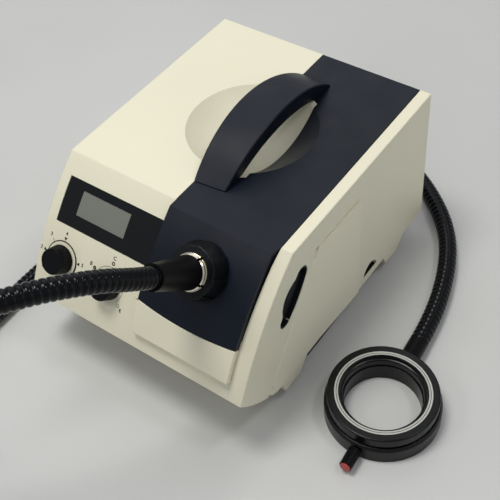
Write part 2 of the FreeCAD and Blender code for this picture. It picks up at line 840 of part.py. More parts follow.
def make_plug_sleeve():
    body = turned([
        (0, plug_z0),
        (plug_neck_radius, plug_z0),
        (plug_neck_radius, plug_shoulder_z - 1.6),
        (plug_shoulder_radius - 0.5, plug_shoulder_z - 0.9),
        (plug_shoulder_radius, plug_shoulder_z),
        (plug_end_radius, plug_z1),
        (0, plug_z1),
    ])
    bore = rod(ferrule_radius, plug_z0 - 1, 38)
    seat = rod(guide_diameter / 2 + 0.1, plug_seat, plug_z1 + 1)
    return placed(body.cut([bore, seat]), socket_frame)


def make_plug_ferrule():
    return placed(tube(ferrule_radius, 4.5, -10, 38), socket_frame)


def make_plug_bundle():
    """The ground face of the fibre bundle inside the steel ferrule."""
    return placed(rod(4.5, -9.8, 38), socket_frame)


def make_light_guide():
    plug_out = socket_frame.Rotation.multVec(Vector(0, 0, 1))
    start = socket_frame.multVec(Vector(0, 0, plug_seat))
    after_start = start + plug_out * 24.0
    sleeve_out = Vector(cosine(sleeve_turn), sine(sleeve_turn), 0)
    ring_axis = Vector(ring_x, ring_y, guide_floor_z)
    before_end = ring_axis + sleeve_out * (sleeve_end + 28.0)
    end = ring_axis + sleeve_out * sleeve_end
    points = [start, after_start] + [Vector(*point) for point in guide_middle] + [before_end, end]
    edges = []
    here = start
    print("guide bend radii in mm:")
    for before, corner, after in zip(points, points[1:], points[2:]):
        arrive = corner - before
        leave = after - corner
        turn = arrive.getAngle(leave)
        trim = 0.45 * min(arrive.Length, leave.Length)
        print("  %.0f" % (trim / math.tan(turn / 2)), end="")
        first = corner - arrive * (trim / arrive.Length)
        last = corner + leave * (trim / leave.Length)
        inwards = (first + last) * 0.5 - corner
        bend = trim / math.tan(turn / 2)
        to_centre = bend / math.cos(turn / 2)
        middle = corner + inwards * ((to_centre - bend) / inwards.Length)
        edges.append(Part.LineSegment(here, first).toShape())
        edges.append(Part.Arc(first, middle, last).toShape())
        here = last
    edges.append(Part.LineSegment(here, end).toShape())
    path = Part.Wire(edges)
    profile = Part.Wire(Part.makeCircle(guide_diameter / 2, start, plug_out))
    guide = path.makePipeShell([profile], True, False)
    expected = math.pi * guide_diameter ** 2 / 4 * path.Length
    print("\nguide length %.1f, volume as expected %.4f" % (path.Length, guide.Volume / expected))
    return guide


def make_guide_end_sleeve():
    body = joined(rod(6.2, 38, 44), rod(7.6, 44, sleeve_end))
    return placed(body, ring_frame(sleeve_turn, guide_floor_z))


def make_ring_base():
    body = turned([
        (ring_bore, 0),
        (ring_radius, 0),
        (ring_radius, 12.5),
        (ring_radius - 1.3, ring_split_z),
        (ring_bore, ring_split_z),
    ])
    body.translate(Vector(ring_x, ring_y, 0))
    sleeve_hole = joined(rod(6.2, 38, 60), rod(7.8, 42.6, 60))
    screw_hole = rod(screw_shank_radius + running_gap, 20, 60)
    holes = [placed(sleeve_hole, ring_frame(sleeve_turn, guide_floor_z))]
    holes.append(placed(screw_hole, ring_frame(screw_turn, screw_z)))
    return body.cut(holes)


def make_ring_head():
    body = turned([
        (30.0, ring_split_z),
        (41.2, ring_split_z),
        (41.2, 15.8),
        (41.8, 16.4),
        (41.8, 23.1),
        (41.4, 24.0),
        (40.5, ring_top_z),
        (36.2, ring_top_z),
        (36.2, 17.5),
        (33.2, 17.5),
        (33.2, ring_top_z),
        (32.4, ring_top_z),
        (31.4, 21.4),
        (30.4, 21.0),
        (30.0, 20.4),
    ])
    body.translate(Vector(ring_x, ring_y, 0))
    return body


def make_fibre_ring():
    return tube(36.15, 33.25, 17.5, ring_top_z - 0.2, ring_x, ring_y)


def make_clamp_screw():
    knob = ribbed_knob(5.0, 4.7, 45.3, 59.8, 10, 0.8)
    recess = rod(4.0, 58.8, 61)
    shank = rod(screw_shank_radius, 31.8, 46)
    return placed(joined(knob.cut(recess), shank), ring_frame(screw_turn, screw_z))


def make_clamp_screw_cap():
    return placed(rod(4.0, 58.8, 60.6), ring_frame(screw_turn, screw_z))


def make_pressure_pin():
    return placed(rod(screw_shank_radius, 29.3, 31.8), ring_frame(screw_turn, screw_z))


def make_filter_slider():
    body = box(slider_x0 - socket_x, slider_x1 - socket_x, slider_y0, slider_y1, slider_z0, slider_z1)
    window = rod(filter_radius - 2.0, slider_z0 - 1, slider_z1 + 1)
    seat = rod(filter_radius + 0.1, slider_z1 - 4.0, slider_z1 + 1)
    return placed(body.cut([window, seat]), socket_frame)


def make_filter_glass():
    return placed(rod(filter_radius, slider_z1 - 4.0, slider_z1 - 1.0), socket_frame)


def make_filter_guide():
    """The channel that the slider runs in, and the lining that leads it out through the side."""
    gap, wall = 0.4, 1.6
    x0, x1 = chassis_x1 - socket_x, 94.0 - socket_x
    y0, y1 = slider_y0 - gap, slider_y1 + gap
    z0, z1 = slider_z0 - gap, slider_z1 + gap
    outer = box(x0, x1, y0 - wall, y1 + wall, z0 - wall, z1 + wall)
    inner = box(x0 + 3, x1 + 10, y0, y1, z0, z1)
    light_path = rod(15.0, slider_z0 - 10, slider_z1 + 10)
    mouth_x = half_width - 0.3 - socket_x
    mouth = across(slot_outline().makeOffset2D(-0.15), x1 - 1.0, mouth_x)
    hollow = across(slot_outline().makeOffset2D(-1.2), x1, mouth_x + 1)
    lined = joined(outer, mouth.cut(hollow))
    return placed(lined.cut([inner, light_path]), socket_frame)


def make_chassis_plate():
    plate = across(
        outline(
            side(2, 21.2),
            side(-40, 50),
            side(-26.3, 72),
            side(-0.5, 113),
            side(12, 122),
            side(150, 122),
            side(150, 21.2),
        ),
        chassis_x0,
        chassis_x1,
    )
    foot = box(chassis_x1, 24, 20, 150, 21.2, 23.2)
    cable_way = FreeCAD.Placement(Vector(7, 90, 50), FreeCAD.Rotation(Vector(0, 1, 0), 90))
    return joined(plate, foot).cut(placed(rod(7, -5, 5), cable_way))


def make_lamp_bracket():
    """The plate that the reflector's rim rests against, standing off the chassis plate."""
    plate = box(chassis_x1 - socket_x, 32, -29, 29, lamp_rim_z + 0.2, lamp_rim_z + 2.2)
    near_x = chassis_x1 - socket_x
    tongue = box(near_x, near_x + 2, -29, 29, lamp_rim_z - 16, lamp_rim_z + 2.2)
    return placed(joined(plate, tongue).cut(rod(22.5, -60, -30)), socket_frame)


def make_lamp_reflector():
    rim = lamp_rim_z
    body = turned([
        (reflector_radius, rim),
        (reflector_radius, rim - 2.5),
        (23.4, rim - 3.5),
        (19.5, rim - 20),
        (12.5, rim - 33),
        (8.0, rim - 36),
        (8.0, rim - 44),
        (3.5, rim - 44),
        (3.5, rim - 34.5),
        (11.2, rim - 31.6),
        (17.8, rim - 19.2),
        (22.2, rim),
    ])
    return placed(body, socket_frame)


def make_lamp_capsule():
    rim = lamp_rim_z
    bulb = turned([
        (0, rim - 12),
        (3.5, rim - 13),
        (5.0, rim - 16),
        (5.0, rim - 25),
        (3.2, rim - 29),
        (0, rim - 29),
    ])
    pinch = box(-2.4, 2.4, -1.2, 1.2, rim - 43.5, rim - 28.5)
    pins = [rod(0.6, rim - 52, rim - 43, x) for x in (-1.6, 1.6)]
    return placed(joined(bulb, pinch, *pins), socket_frame)


def make_lamp_socket():
    rim = lamp_rim_z
    block = box(-12, 12, -8, 8, rim - 60, rim - 44.2)
    pin_holes = [rod(0.7, rim - 53, rim - 44, x) for x in (-1.6, 1.6)]
    ears = box(-18, 18, -5, 5, rim - 60, rim - 57)
    return placed(joined(block, ears).cut(pin_holes), socket_frame)


def make_heat_shield():
    roof = box(chassis_x1, 88, 30, 130, 117.5, 118.7)
    flange = box(chassis_x1, chassis_x1 + 1.2, 40, 130, 108, 117.5)
    slots = [box(22, 76, y, y + 3, 116, 120) for y in range(40, 125, 10)]
    return joined(roof, flange).cut(slots)


fan_frame_place = rear_frame(fan_x, fan_z, panel_y - fan_depth)


def make_fan_frame():
    body = box(-fan_half, fan_half, -fan_half, fan_half, 0, fan_depth).cut(rod(38, -1, fan_depth + 1))
    arms = [spun(box(0, 38.5, -2.5, 2.5, 0, 3), angle) for angle in (45, 135, 225, 315)]
    hub = joined(rod(15, 0, 3), rod(5, 3, 17))
    bearing_hole = rod(fan_shaft_radius + running_gap, 1.2, 18)
    corners = [rod(2.2, -1, fan_depth + 1, x, y) for x in (-35.7, 35.7) for y in (-35.7, 35.7)]
    return placed(joined(body, hub, *arms).cut(corners + [bearing_hole]), fan_frame_place)


def make_fan_rotor():
    cup = rod(15, 5, 22).cut(rod(13, 4, 20))
    shaft = rod(fan_shaft_radius, 1.6, 21)
    ring_room = tube(36.8, 14.5, 0, 30)
    blades = []
    for number in range(7):
        blade = box(14, 38, -0.8, 0.8, -12, 12)
        blade = placed(blade, FreeCAD.Placement(Vector(0, 0, 13.5), FreeCAD.Rotation(Vector(1, 0, 0), 48)))
        blades.append(spun(blade.common(ring_room), number * 360.0 / 7))
    return placed(joined(cup, shaft, *blades), fan_frame_place)


def make_transformer_core():
    core = box(-86, -26, 100, 150, 24.2, 74.2)
    windows = [box(x, x + 10, 99, 151, 34.2, 64.2) for x in (-76, -46)]
    rails = [box(-92, -20, y, y + 8, 21.2, 24.2) for y in (100, 142)]
    return joined(core.cut(windows), *rails)


def make_transformer_coil():
    winding = box(-75.7, -36.3, 91, 159, 35, 63.4)
    return winding.cut(box(-66.3, -45.7, 99.7, 150.3, 30, 70))


def make_power_board():
    return box(-92, 2, 0, 84, 32, 33.6).cut([rod(1.6, 31, 35, x, y) for x, y in board_posts])


def make_board_posts():
    posts = []
    for x, y in board_posts:
        foot = rod(3.5, floor_z + skin, 32, x, y)
        neck = rod(1.6, 32, 33.6, x, y)
        posts.append(joined(foot, neck, rod(3.0, 33.6, 35.4, x, y)))
    return Part.makeCompound(posts)


def make_capacitors():
    cans = [rod(11, 33.6, 68, x, y) for x, y in ((-48, 22), (-22, 22))]
    return Part.makeCompound(cans)


def make_heat_sink():
    base = box(-86, -52, 48, 76, 33.6, 38)
    fins = [box(x, x + 1.5, 48, 76, 38, 66) for x in (-86, -79.5, -73, -66.5, -60, -53.5)]
    return joined(base, *fins)


def make_mains_inlet():
    flange = box(-25, 25, -17.5, 17.5, panel_thickness, panel_thickness + 2)
    body = box(-14, 14, -16, 16, -20, panel_thickness)
    cavity = box(-12, 12, -13.5, 3.0, -13, 6)
    drawer_room = box(-11.4, 11.4, 5.2, 14.6, -14, 6)
    shell = joined(flange, body).cut([cavity, drawer_room])
    screw_holes = [rod(2, 1, 6, x) for x in (-20, 20)]
    return placed(shell.cut(screw_holes + inlet_blades()), rear_frame(inlet_x, inlet_z))


def inlet_blades():
    return [box(x - 1, x + 1, y - 2, y + 2, -24, 0.5) for x, y in ((-7, -2.5), (0, -8), (7, -2.5))]


def make_inlet_pins():
    return placed(Part.makeCompound(inlet_blades()), rear_frame(inlet_x, inlet_z))


def make_fuse_drawer():
    front = box(-11, 11, 5.6, 14.2, 2.0, panel_thickness + 2.6)
    tray = box(-10, 10, 6.6, 13.2, -13, 2.0).cut(box(-8.5, 8.5, 5.0, 12.0, -11.5, 0.5))
    grip = box(-5, 5, 5, 7.2, 3.6, 6)
    return placed(joined(front, tray).cut(grip), rear_frame(inlet_x, inlet_z))


def make_switch_housing():
    flange = box(-12.5, 12.5, -16.5, 16.5, panel_thickness, panel_thickness + 1.5)
    body = box(-10, 10, -14, 14, -16, panel_thickness)
    room = box(-8.6, 8.6, -12, 12, -13, 6)
    pivot = placed(rod(1.5 + running_gap, -9.7, 9.7), rocker_axis)
    return placed(joined(flange, body).cut([room, pivot]), rear_frame(switch_x, switch_z))


# The rocker turns about the panel's X direction, just inside the switch housing.
rocker_axis = FreeCAD.Placement(Vector(0, 0, -2), FreeCAD.Rotation(Vector(0, 1, 0), 90))


def make_power_rocker():
    wire = outline(
        side(-9.2, -7),
        side(9.2, -7),
        side(10.6, 3.6),
        (side(0, 2.0), side(-10.6, 3.6)),
    )
    body = across(wire, -8.2, 8.2)
    rocker = joined(body, placed(rod(1.5, -9.6, 9.6), rocker_axis))
    pivot = Vector(0, 0, -2)
    rocker.rotate(pivot, Vector(1, 0, 0), rocker_turn)
    return placed(rocker, rear_frame(switch_x, switch_z))


pieces = {
    "cream_cover": make_cream_cover,
    "dark_cover": make_dark_cover,
    "right_cover": make_right_cover,
    "lamp_door": make_lamp_door,
    "door_pins": make_door_pins,
    "carry_handle": make_handle,
    "handle_screws": make_handle_screws,
    "trim_block": make_trim_block,
    "base_pan": make_base_pan,
    "rubber_feet": make_rubber_feet,
    "rear_panel": make_rear_panel,
    "panel_screws": make_panel_screws,
    "display_bezel": make_display_bezel,
    "display_glass": make_display_glass,
    "display_board": make_display_board,
    "intensity_knob": make_intensity_knob,
    "intensity_shaft": make_intensity_shaft,
    "potentiometer": make_potentiometer,
    "control_board": make_control_board,
    "shaft_bushings": make_shaft_bushings,
    "aperture_knob": make_aperture_knob,
    "aperture_shaft": make_aperture_shaft,
    "aperture_vane": make_aperture_vane,
    "aperture_guide": make_aperture_guide,
    "socket_flange": make_socket_flange,
    "socket_collet": make_collet,
    "clamp_collar": make_collar,
    "plug_sleeve": make_plug_sleeve,
    "plug_ferrule": make_plug_ferrule,
    "plug_bundle": make_plug_bundle,
    "light_guide": make_light_guide,
    "guide_end_sleeve": make_guide_end_sleeve,
    "ring_base": make_ring_base,
    "ring_head": make_ring_head,
    "fibre_ring": make_fibre_ring,
    "clamp_screw": make_clamp_screw,
    "clamp_screw_cap": make_clamp_screw_cap,
    "pressure_pin": make_pressure_pin,
    "filter_slider": make_filter_slider,
    "filter_glass": make_filter_glass,
    "filter_guide": make_filter_guide,
    "chassis_plate": make_chassis_plate,
    "lamp_bracket": make_lamp_bracket,
    "lamp_reflector": make_lamp_reflector,
    "lamp_capsule": make_lamp_capsule,
    "lamp_socket": make_lamp_socket,
    "heat_shield": make_heat_shield,
    "fan_frame": make_fan_frame,
    "fan_rotor": make_fan_rotor,
    "transformer_core": make_transformer_core,
    "transformer_coil": make_transformer_coil,
    "power_board": make_power_board,
    "board_posts": make_board_posts,
    "capacitors": make_capacitors,
    "heat_sink": make_heat_sink,
    "mains_inlet": make_mains_inlet,
    "inlet_pins": make_inlet_pins,
    "fuse_drawer": make_fuse_drawer,
    "switch_housing": make_switch_housing,
    "power_rocker": make_power_rocker,
}

# The frame origin is under the middle of the housing and the ring light together, on the bench.
frame_origin = Vector(
    (ring_x + ring_radius - half_width) / 2, (rear_y + on_front(chin_slope).y) / 2, 0
)

os.makedirs("parts", exist_ok=True)
for name, make in pieces.items():
    shape = make()
    shape.translate(-frame_origin)
    shape.exportStep("parts/%s.step" % name)
print("frame origin %.3f %.3f" % (frame_origin.x, frame_origin.y))
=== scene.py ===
import math

import bmesh
import bpy
from mathutils import Matrix, Vector


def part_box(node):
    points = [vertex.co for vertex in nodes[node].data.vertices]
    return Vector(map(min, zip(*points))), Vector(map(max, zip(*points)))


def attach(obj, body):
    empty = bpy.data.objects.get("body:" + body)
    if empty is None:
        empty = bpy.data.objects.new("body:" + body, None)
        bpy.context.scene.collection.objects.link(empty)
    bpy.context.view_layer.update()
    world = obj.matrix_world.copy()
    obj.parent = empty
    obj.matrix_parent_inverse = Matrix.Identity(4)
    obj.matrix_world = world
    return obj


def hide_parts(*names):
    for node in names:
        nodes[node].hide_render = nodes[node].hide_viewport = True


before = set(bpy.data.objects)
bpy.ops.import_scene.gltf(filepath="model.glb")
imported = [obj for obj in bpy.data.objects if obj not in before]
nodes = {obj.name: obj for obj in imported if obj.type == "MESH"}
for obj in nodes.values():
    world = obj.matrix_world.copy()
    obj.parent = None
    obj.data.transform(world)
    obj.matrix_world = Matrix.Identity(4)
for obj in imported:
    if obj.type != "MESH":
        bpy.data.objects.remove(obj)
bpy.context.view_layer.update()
millimetre = 0.001
tiny = 1e-6

# Sizes are in millimetres from the housing's middle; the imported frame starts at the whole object's middle
housing = {"halfWidth": 100.0, "rear": 196.0, "top": 150.0, "frontRadius": 256.0, "creaseSlope": 39.7}
coverLow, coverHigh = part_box("cream_cover")
origin = Vector((
    coverLow.x + housing["halfWidth"] * millimetre,
    coverHigh.y - housing["rear"] * millimetre,
    0.0,
))


def at(x, y, z):
    return Vector((x, y, z)) * millimetre + origin


print("frame loaded,", len(nodes), "nodes, origin", tuple(round(v, 5) for v in origin))

# Camera
camera = {
    "place": (357.2, -365.8, 652.0),
    "azimuth": 38.39,
    "elevation": 44.47,
    "roll": -4.72,
    "lens": 72.23,
    "shift": (0.0018, -0.1214),
    "sensor": 36.0,
    "near": 0.02,
    "far": 60.0,
}
lensData = bpy.data.cameras.new("mainCamera")
lensData.lens = camera["lens"]
lensData.sensor_width = camera["sensor"]
lensData.shift_x, lensData.shift_y = camera["shift"]
lensData.clip_start = camera["near"]
lensData.clip_end = camera["far"]
mainCamera = bpy.data.objects.new("mainCamera", lensData)
bpy.context.scene.collection.objects.link(mainCamera)
mainCamera.matrix_world = (
    Matrix.Translation(at(*camera["place"]))
    @ Matrix.Rotation(math.radians(camera["azimuth"]), 4, "Z")
    @ Matrix.Rotation(math.radians(90.0 - camera["elevation"]), 4, "X")
    @ Matrix.Rotation(math.radians(camera["roll"]), 4, "Z")
)
bpy.context.scene.camera = mainCamera
print("camera at", tuple(round(v, 3) for v in mainCamera.matrix_world.translation))


# Materials: noise stays mostly between these two values, so tone and polish change between them
noiseLow, noiseHigh = 0.3, 0.7
grainDepth = 0.00004
toolMarkDepth = 0.00002


def newMaterial(name, roughness, metallic=0.0, shine=0.5):
    material = bpy.data.materials.new(name)
    material.use_nodes = True
    tree = material.node_tree
    shader = tree.nodes["Principled BSDF"]
    shader.inputs["Roughness"].default_value = roughness
    shader.inputs["Metallic"].default_value = metallic
    shader.inputs["Specular IOR Level"].default_value = shine
    place = tree.nodes.new("ShaderNodeTexCoord")
    return material, tree, shader, place.outputs["Object"]


def noise(tree, vector, scale, detail=3.0, stretch=None):
    if stretch is not None:
        mapping = tree.nodes.new("ShaderNodeMapping")
        mapping.inputs["Scale"].default_value = stretch
        tree.links.new(vector, mapping.inputs["Vector"])
        vector = mapping.outputs["Vector"]
    texture = tree.nodes.new("ShaderNodeTexNoise")
    texture.inputs["Scale"].default_value = scale
    texture.inputs["Detail"].default_value = detail
    tree.links.new(vector, texture.inputs["Vector"])
    return texture.outputs["Fac"]


def blendColours(tree, factor, first, second, target):
    ramp = tree.nodes.new("ShaderNodeValToRGB")
    ramp.color_ramp.elements[0].position = noiseLow
    ramp.color_ramp.elements[0].color = (*first, 1.0)
    ramp.color_ramp.elements[1].position = noiseHigh
    ramp.color_ramp.elements[1].color = (*second, 1.0)
    tree.links.new(factor, ramp.inputs["Fac"])
    tree.links.new(ramp.outputs["Color"], target)


def varied(tree, factor, low, high, target):
    span = tree.nodes.new("ShaderNodeMapRange")
    span.inputs["From Min"].default_value = noiseLow
    span.inputs["From Max"].default_value = noiseHigh
    span.inputs["To Min"].default_value = low
    span.inputs["To Max"].default_value = high
    tree.links.new(factor, span.inputs["Value"])
    tree.links.new(span.outputs["Result"], target)


def bump(tree, shader, height, strength, distance):
    node = tree.nodes.new("ShaderNodeBump")
    node.inputs["Strength"].default_value = strength
    node.inputs["Distance"].default_value = distance
    tree.links.new(height, node.inputs["Height"])
    tree.links.new(node.outputs["Normal"], shader.inputs["Normal"])


def moulded(name, colour, shade, roughness, grain=1400.0, strength=0.3, shine=0.5):
    # satin moulded plastic: slow change of tone, patches of handling polish and a fine spark-eroded grain
    material, tree, shader, place = newMaterial(name, roughness, 0.0, shine)
    blendColours(tree, noise(tree, place, 9.0), shade, colour, shader.inputs["Base Color"])
    varied(tree, noise(tree, place, 45.0), roughness - 0.05, roughness + 0.08, shader.inputs["Roughness"])
    bump(tree, shader, noise(tree, place, grain, 1.0), strength, grainDepth)
    return material


def turnedMetal(name, colour, shade, roughness, stretch=(1.0, 1.0, 40.0)):
    # fine tool marks and a slight change of tone
    material, tree, shader, place = newMaterial(name, roughness, 1.0)
    marks = noise(tree, place, 160.0, 4.0, stretch)
    blendColours(tree, marks, shade, colour, shader.inputs["Base Color"])
    varied(tree, marks, roughness - 0.06, roughness + 0.1, shader.inputs["Roughness"])
    bump(tree, shader, marks, 0.15, toolMarkDepth)
    return material


def clear(name, colour, roughness, transmission):
    material, tree, shader, place = newMaterial(name, roughness)
    shader.inputs["Transmission Weight"].default_value = transmission
    shader.inputs["IOR"].default_value = 1.5
    haze = noise(tree, place, 60.0)
    blendColours(tree, haze, tuple(0.94 * c for c in colour), colour, shader.inputs["Base Color"])
    varied(tree, haze, roughness, roughness + 0.04, shader.inputs["Roughness"])
    return material


cream = moulded("creamPlastic", (0.79, 0.755, 0.585), (0.765, 0.73, 0.565), 0.42)
# the lamp door gets a lighter copy of the cream: painted light for the light its face catches
doorCreamPaintedLighter = moulded("doorPlasticPaintedLight", (0.82, 0.785, 0.61), (0.795, 0.76, 0.59), 0.42)
navy = moulded(
    "navyPlastic", (0.0022, 0.0055, 0.0140), (0.0015, 0.0040, 0.0110), 0.43, grain=1500.0, shine=0.28,
)
black = moulded("blackPlastic", (0.0015, 0.002, 0.003), (0.0025, 0.003, 0.004), 0.27, shine=0.16)
collarBlack = moulded("collarPlastic", (0.0015, 0.002, 0.003), (0.0025, 0.003, 0.004), 0.3, shine=0.34)
knobBlack = moulded(
    "knobPlastic", (0.001, 0.0015, 0.003), (0.002, 0.0025, 0.004), 0.25,
    grain=900.0, strength=0.15, shine=0.17,
)
bezelBlack = moulded(
    "bezelGloss", (0.003, 0.0035, 0.0045), (0.004, 0.0045, 0.0055), 0.14,
    grain=300.0, strength=0.05, shine=0.35,
)
screen = moulded(
    "screenGlass", (0.192, 0.203, 0.172), (0.178, 0.190, 0.164), 0.18, grain=220.0, strength=0.04, shine=0.3,
)
sliderBlack = moulded(
    "sliderPlastic", (0.0070, 0.0090, 0.0105), (0.0055, 0.0070, 0.0085), 0.4,
    grain=900.0, strength=0.2, shine=0.3,
)
greyPlastic = moulded("greyPlastic", (0.10, 0.10, 0.11), (0.085, 0.085, 0.095), 0.45)
redPlastic = moulded("redPlastic", (0.50, 0.055, 0.05), (0.40, 0.045, 0.04), 0.38, grain=600.0)
satinBlack = moulded(
    "sleeveBlack", (0.002, 0.002, 0.0025), (0.003, 0.003, 0.0035), 0.3, grain=800.0, strength=0.2, shine=0.14,
)
ringBlack = moulded(
    "anodisedBlack", (0.0025, 0.0028, 0.0032), (0.004, 0.0045, 0.005), 0.25,
    grain=700.0, strength=0.15, shine=0.25,
)
rubber = moulded("footRubber", (0.018, 0.018, 0.018), (0.026, 0.025, 0.024), 0.75, grain=500.0, strength=0.6)
ink = moulded(
    "printedInk", (0.006, 0.006, 0.007), (0.010, 0.010, 0.011), 0.5, grain=900.0, strength=0.1, shine=0.2,
)
board = moulded("circuitBoard", (0.02, 0.13, 0.05), (0.03, 0.17, 0.06), 0.4, grain=400.0, strength=0.2)
ceramic = moulded("ceramic", (0.72, 0.69, 0.62), (0.65, 0.62, 0.55), 0.6, grain=500.0, strength=0.4)
nickel = turnedMetal("satinNickel", (0.82, 0.77, 0.66), (0.74, 0.69, 0.58), 0.2)
steel = turnedMetal("zincSteel", (0.56, 0.56, 0.55), (0.45, 0.45, 0.45), 0.34)
aluminium = turnedMetal("aluminium", (0.74, 0.74, 0.75), (0.66, 0.66, 0.67), 0.36)
brass = turnedMetal("brass", (0.78, 0.58, 0.27), (0.66, 0.48, 0.22), 0.3)
copper = turnedMetal("copperWire", (0.62, 0.27, 0.12), (0.45, 0.18, 0.08), 0.35, stretch=(1.0, 1.0, 90.0))
iron = turnedMetal("coreIron", (0.22, 0.22, 0.22), (0.14, 0.14, 0.15), 0.5, stretch=(1.0, 60.0, 1.0))
clearGlass = clear("clearGlass", (0.92, 0.95, 0.96), 0.03, 0.95)
filterGlass = clear("filterGlass", (0.50, 0.68, 0.92), 0.04, 0.9)
fibre = moulded("polishedFibre", (0.80, 0.79, 0.74), (0.55, 0.54, 0.50), 0.25, grain=4000.0, strength=0.5)

# The ring of fibre ends: two pale rows with a dark line of glue between them
ringLight = {
    "place": (166.1, 14.1, 0.0),
    "inner": 33.25,
    "outer": 36.15,
    "glueInner": 34.45,
    "glueOuter": 34.95,
}
ringFibre, tree, shader, place = newMaterial("ringFibre", 0.3)
fromAxis = tree.nodes.new("ShaderNodeVectorMath")
fromAxis.operation = "SUBTRACT"
fromAxis.inputs[1].default_value = at(*ringLight["place"])
tree.links.new(place, fromAxis.inputs[0])
flattened = tree.nodes.new("ShaderNodeVectorMath")
flattened.operation = "MULTIPLY"
flattened.inputs[1].default_value = (1.0, 1.0, 0.0)
tree.links.new(fromAxis.outputs["Vector"], flattened.inputs[0])
axisDistance = tree.nodes.new("ShaderNodeVectorMath")
axisDistance.operation = "LENGTH"
tree.links.new(flattened.outputs["Vector"], axisDistance.inputs[0])
across = tree.nodes.new("ShaderNodeMapRange")
across.inputs["From Min"].default_value = ringLight["inner"] * millimetre
across.inputs["From Max"].default_value = ringLight["outer"] * millimetre
tree.links.new(axisDistance.outputs["Value"], across.inputs["Value"])
rows = tree.nodes.new("ShaderNodeValToRGB")
rows.color_ramp.interpolation = "CONSTANT"
ringWidth = ringLight["outer"] - ringLight["inner"]
rowSteps = [
    (0.0, (0.50, 0.50, 0.46)),
    ((ringLight["glueInner"] - ringLight["inner"]) / ringWidth, (0.03, 0.03, 0.03)),
    ((ringLight["glueOuter"] - ringLight["inner"]) / ringWidth, (0.56, 0.56, 0.52)),
]
rows.color_ramp.elements.remove(rows.color_ramp.elements[1])
for number, (position, colour) in enumerate(rowSteps):
    step = rows.color_ramp.elements[0] if number == 0 else rows.color_ramp.elements.new(position)
    step.color = (*colour, 1.0)
tree.links.new(across.outputs["Result"], rows.inputs["Fac"])
speckle = tree.nodes.new("ShaderNodeMix")
speckle.data_type = "RGBA"
speckle.blend_type = "MULTIPLY"
speckle.inputs["Factor"].default_value = 0.5
tree.links.new(rows.outputs["Color"], speckle.inputs["A"])
blendColours(tree, noise(tree, place, 3000.0), (0.6, 0.6, 0.6), (1.0, 1.0, 1.0), speckle.inputs["B"])
tree.links.new(speckle.outputs["Result"], shader.inputs["Base Color"])

finishes = {
    cream: ("cream_cover", "right_cover", "trim_block", "base_pan"),
    doorCreamPaintedLighter: ("lamp_door",),
    navy: ("dark_cover", "carry_handle"),
    collarBlack: ("socket_flange", "clamp_collar"),
    black: ("mains_inlet", "switch_housing", "fuse_drawer", "power_rocker", "fan_frame"),
    knobBlack: ("intensity_knob", "aperture_knob", "aperture_guide", "fan_rotor"),
    sliderBlack: ("filter_slider", "filter_guide"),
    bezelBlack: ("display_bezel",),
    screen: ("display_glass",),
    greyPlastic: ("rear_panel", "potentiometer", "shaft_bushings", "capacitors"),
    redPlastic: ("clamp_screw_cap",),
    satinBlack: ("plug_sleeve", "guide_end_sleeve", "clamp_screw"),
    ringBlack: ("ring_base", "ring_head"),
    rubber: ("rubber_feet",),
    board: ("display_board", "control_board", "power_board"),
    ceramic: ("lamp_socket", "lamp_bracket"),
    nickel: ("socket_collet", "plug_ferrule", "lamp_reflector"),
    steel: (
        "door_pins", "handle_screws", "panel_screws", "intensity_shaft", "aperture_shaft", "pressure_pin",
        "board_posts",
    ),
    aluminium: ("aperture_vane", "chassis_plate", "heat_shield", "heat_sink"),
    brass: ("inlet_pins",),
    copper: ("transformer_coil",),
    iron: ("transformer_core",),
    clearGlass: ("lamp_capsule",),
    filterGlass: ("filter_glass",),
    fibre: ("plug_bundle", "light_guide"),
    ringFibre: ("fibre_ring",),
}
for material, names in finishes.items():
    for name in names:
        nodes[name].data.materials.clear()
        nodes[name].data.materials.append(material)
print("materials on", sum(len(names) for names in finishes.values()), "nodes")


def finishMesh(work, name):
    mesh = bpy.data.meshes.new(name)
    work.to_mesh(mesh)
    work.free()
    return mesh


def addPiece(name, mesh, body, material):
    mesh.materials.clear()
    mesh.materials.append(material)
    piece = bpy.data.objects.new(name, mesh)
    bpy.context.scene.collection.objects.link(piece)
    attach(piece, body)
    return piece


# Light guide
guide = {
    "plug": (43.6, -73.9, 164.5),
    "out": (43.6, -92.3, 179.9),
    "loop": [
        (37.2, -117.4, 200.2), (16.8, -160.9, 217.0), (-25.3, -211.6, 207.0), (-76.6, -247.6, 140.6),
        (-111.6, -225.3, 47.7),
    ],
    "onFloor": [
        (-132.0, -160.0), (-143.0, -112.0), (-145.5, -62.0), (-145.0, -8.0), (-147.0, 48.0), (-148.0, 104.0),
        (-144.0, 160.0), (-126.0, 212.0), (-88.0, 252.0), (-36.0, 272.0), (20.0, 270.0), (66.0, 248.0),
        (102.0, 222.0), (130.0, 191.0), (148.0, 152.0), (159.7, 105.9), (161.6, 77.9),
    ],
    "lift": 8.2,
    "diameter": 15.2,
    "groove": 13.6,
    "ribs": 258,
    "sides": 20,
}
route = [guide["plug"], guide["out"]] + guide["loop"] + [(x, y, guide["lift"]) for x, y in guide["onFloor"]]
line = bpy.data.curves.new("guideRoute", "CURVE")
line.dimensions = "3D"
line.resolution_u = 24
line.twist_mode = "MINIMUM"
spline = line.splines.new("NURBS")
spline.points.add(len(route) - 1)
for control, point in zip(spline.points, route):
    control.co = (*at(*point), 1.0)
spline.order_u = 3
spline.use_endpoint_u = True
routeObject = bpy.data.objects.new("guideRoute", line)
bpy.context.scene.collection.objects.link(routeObject)
bpy.context.view_layer.update()
routeMesh = bpy.data.meshes.new_from_object(routeObject)
path = [v.co.copy() for v in routeMesh.vertices]
guideLength = sum((b - a).length for a, b in zip(path, path[1:]))
print("guide length", round(guideLength, 4), "m,", len(path), "points")

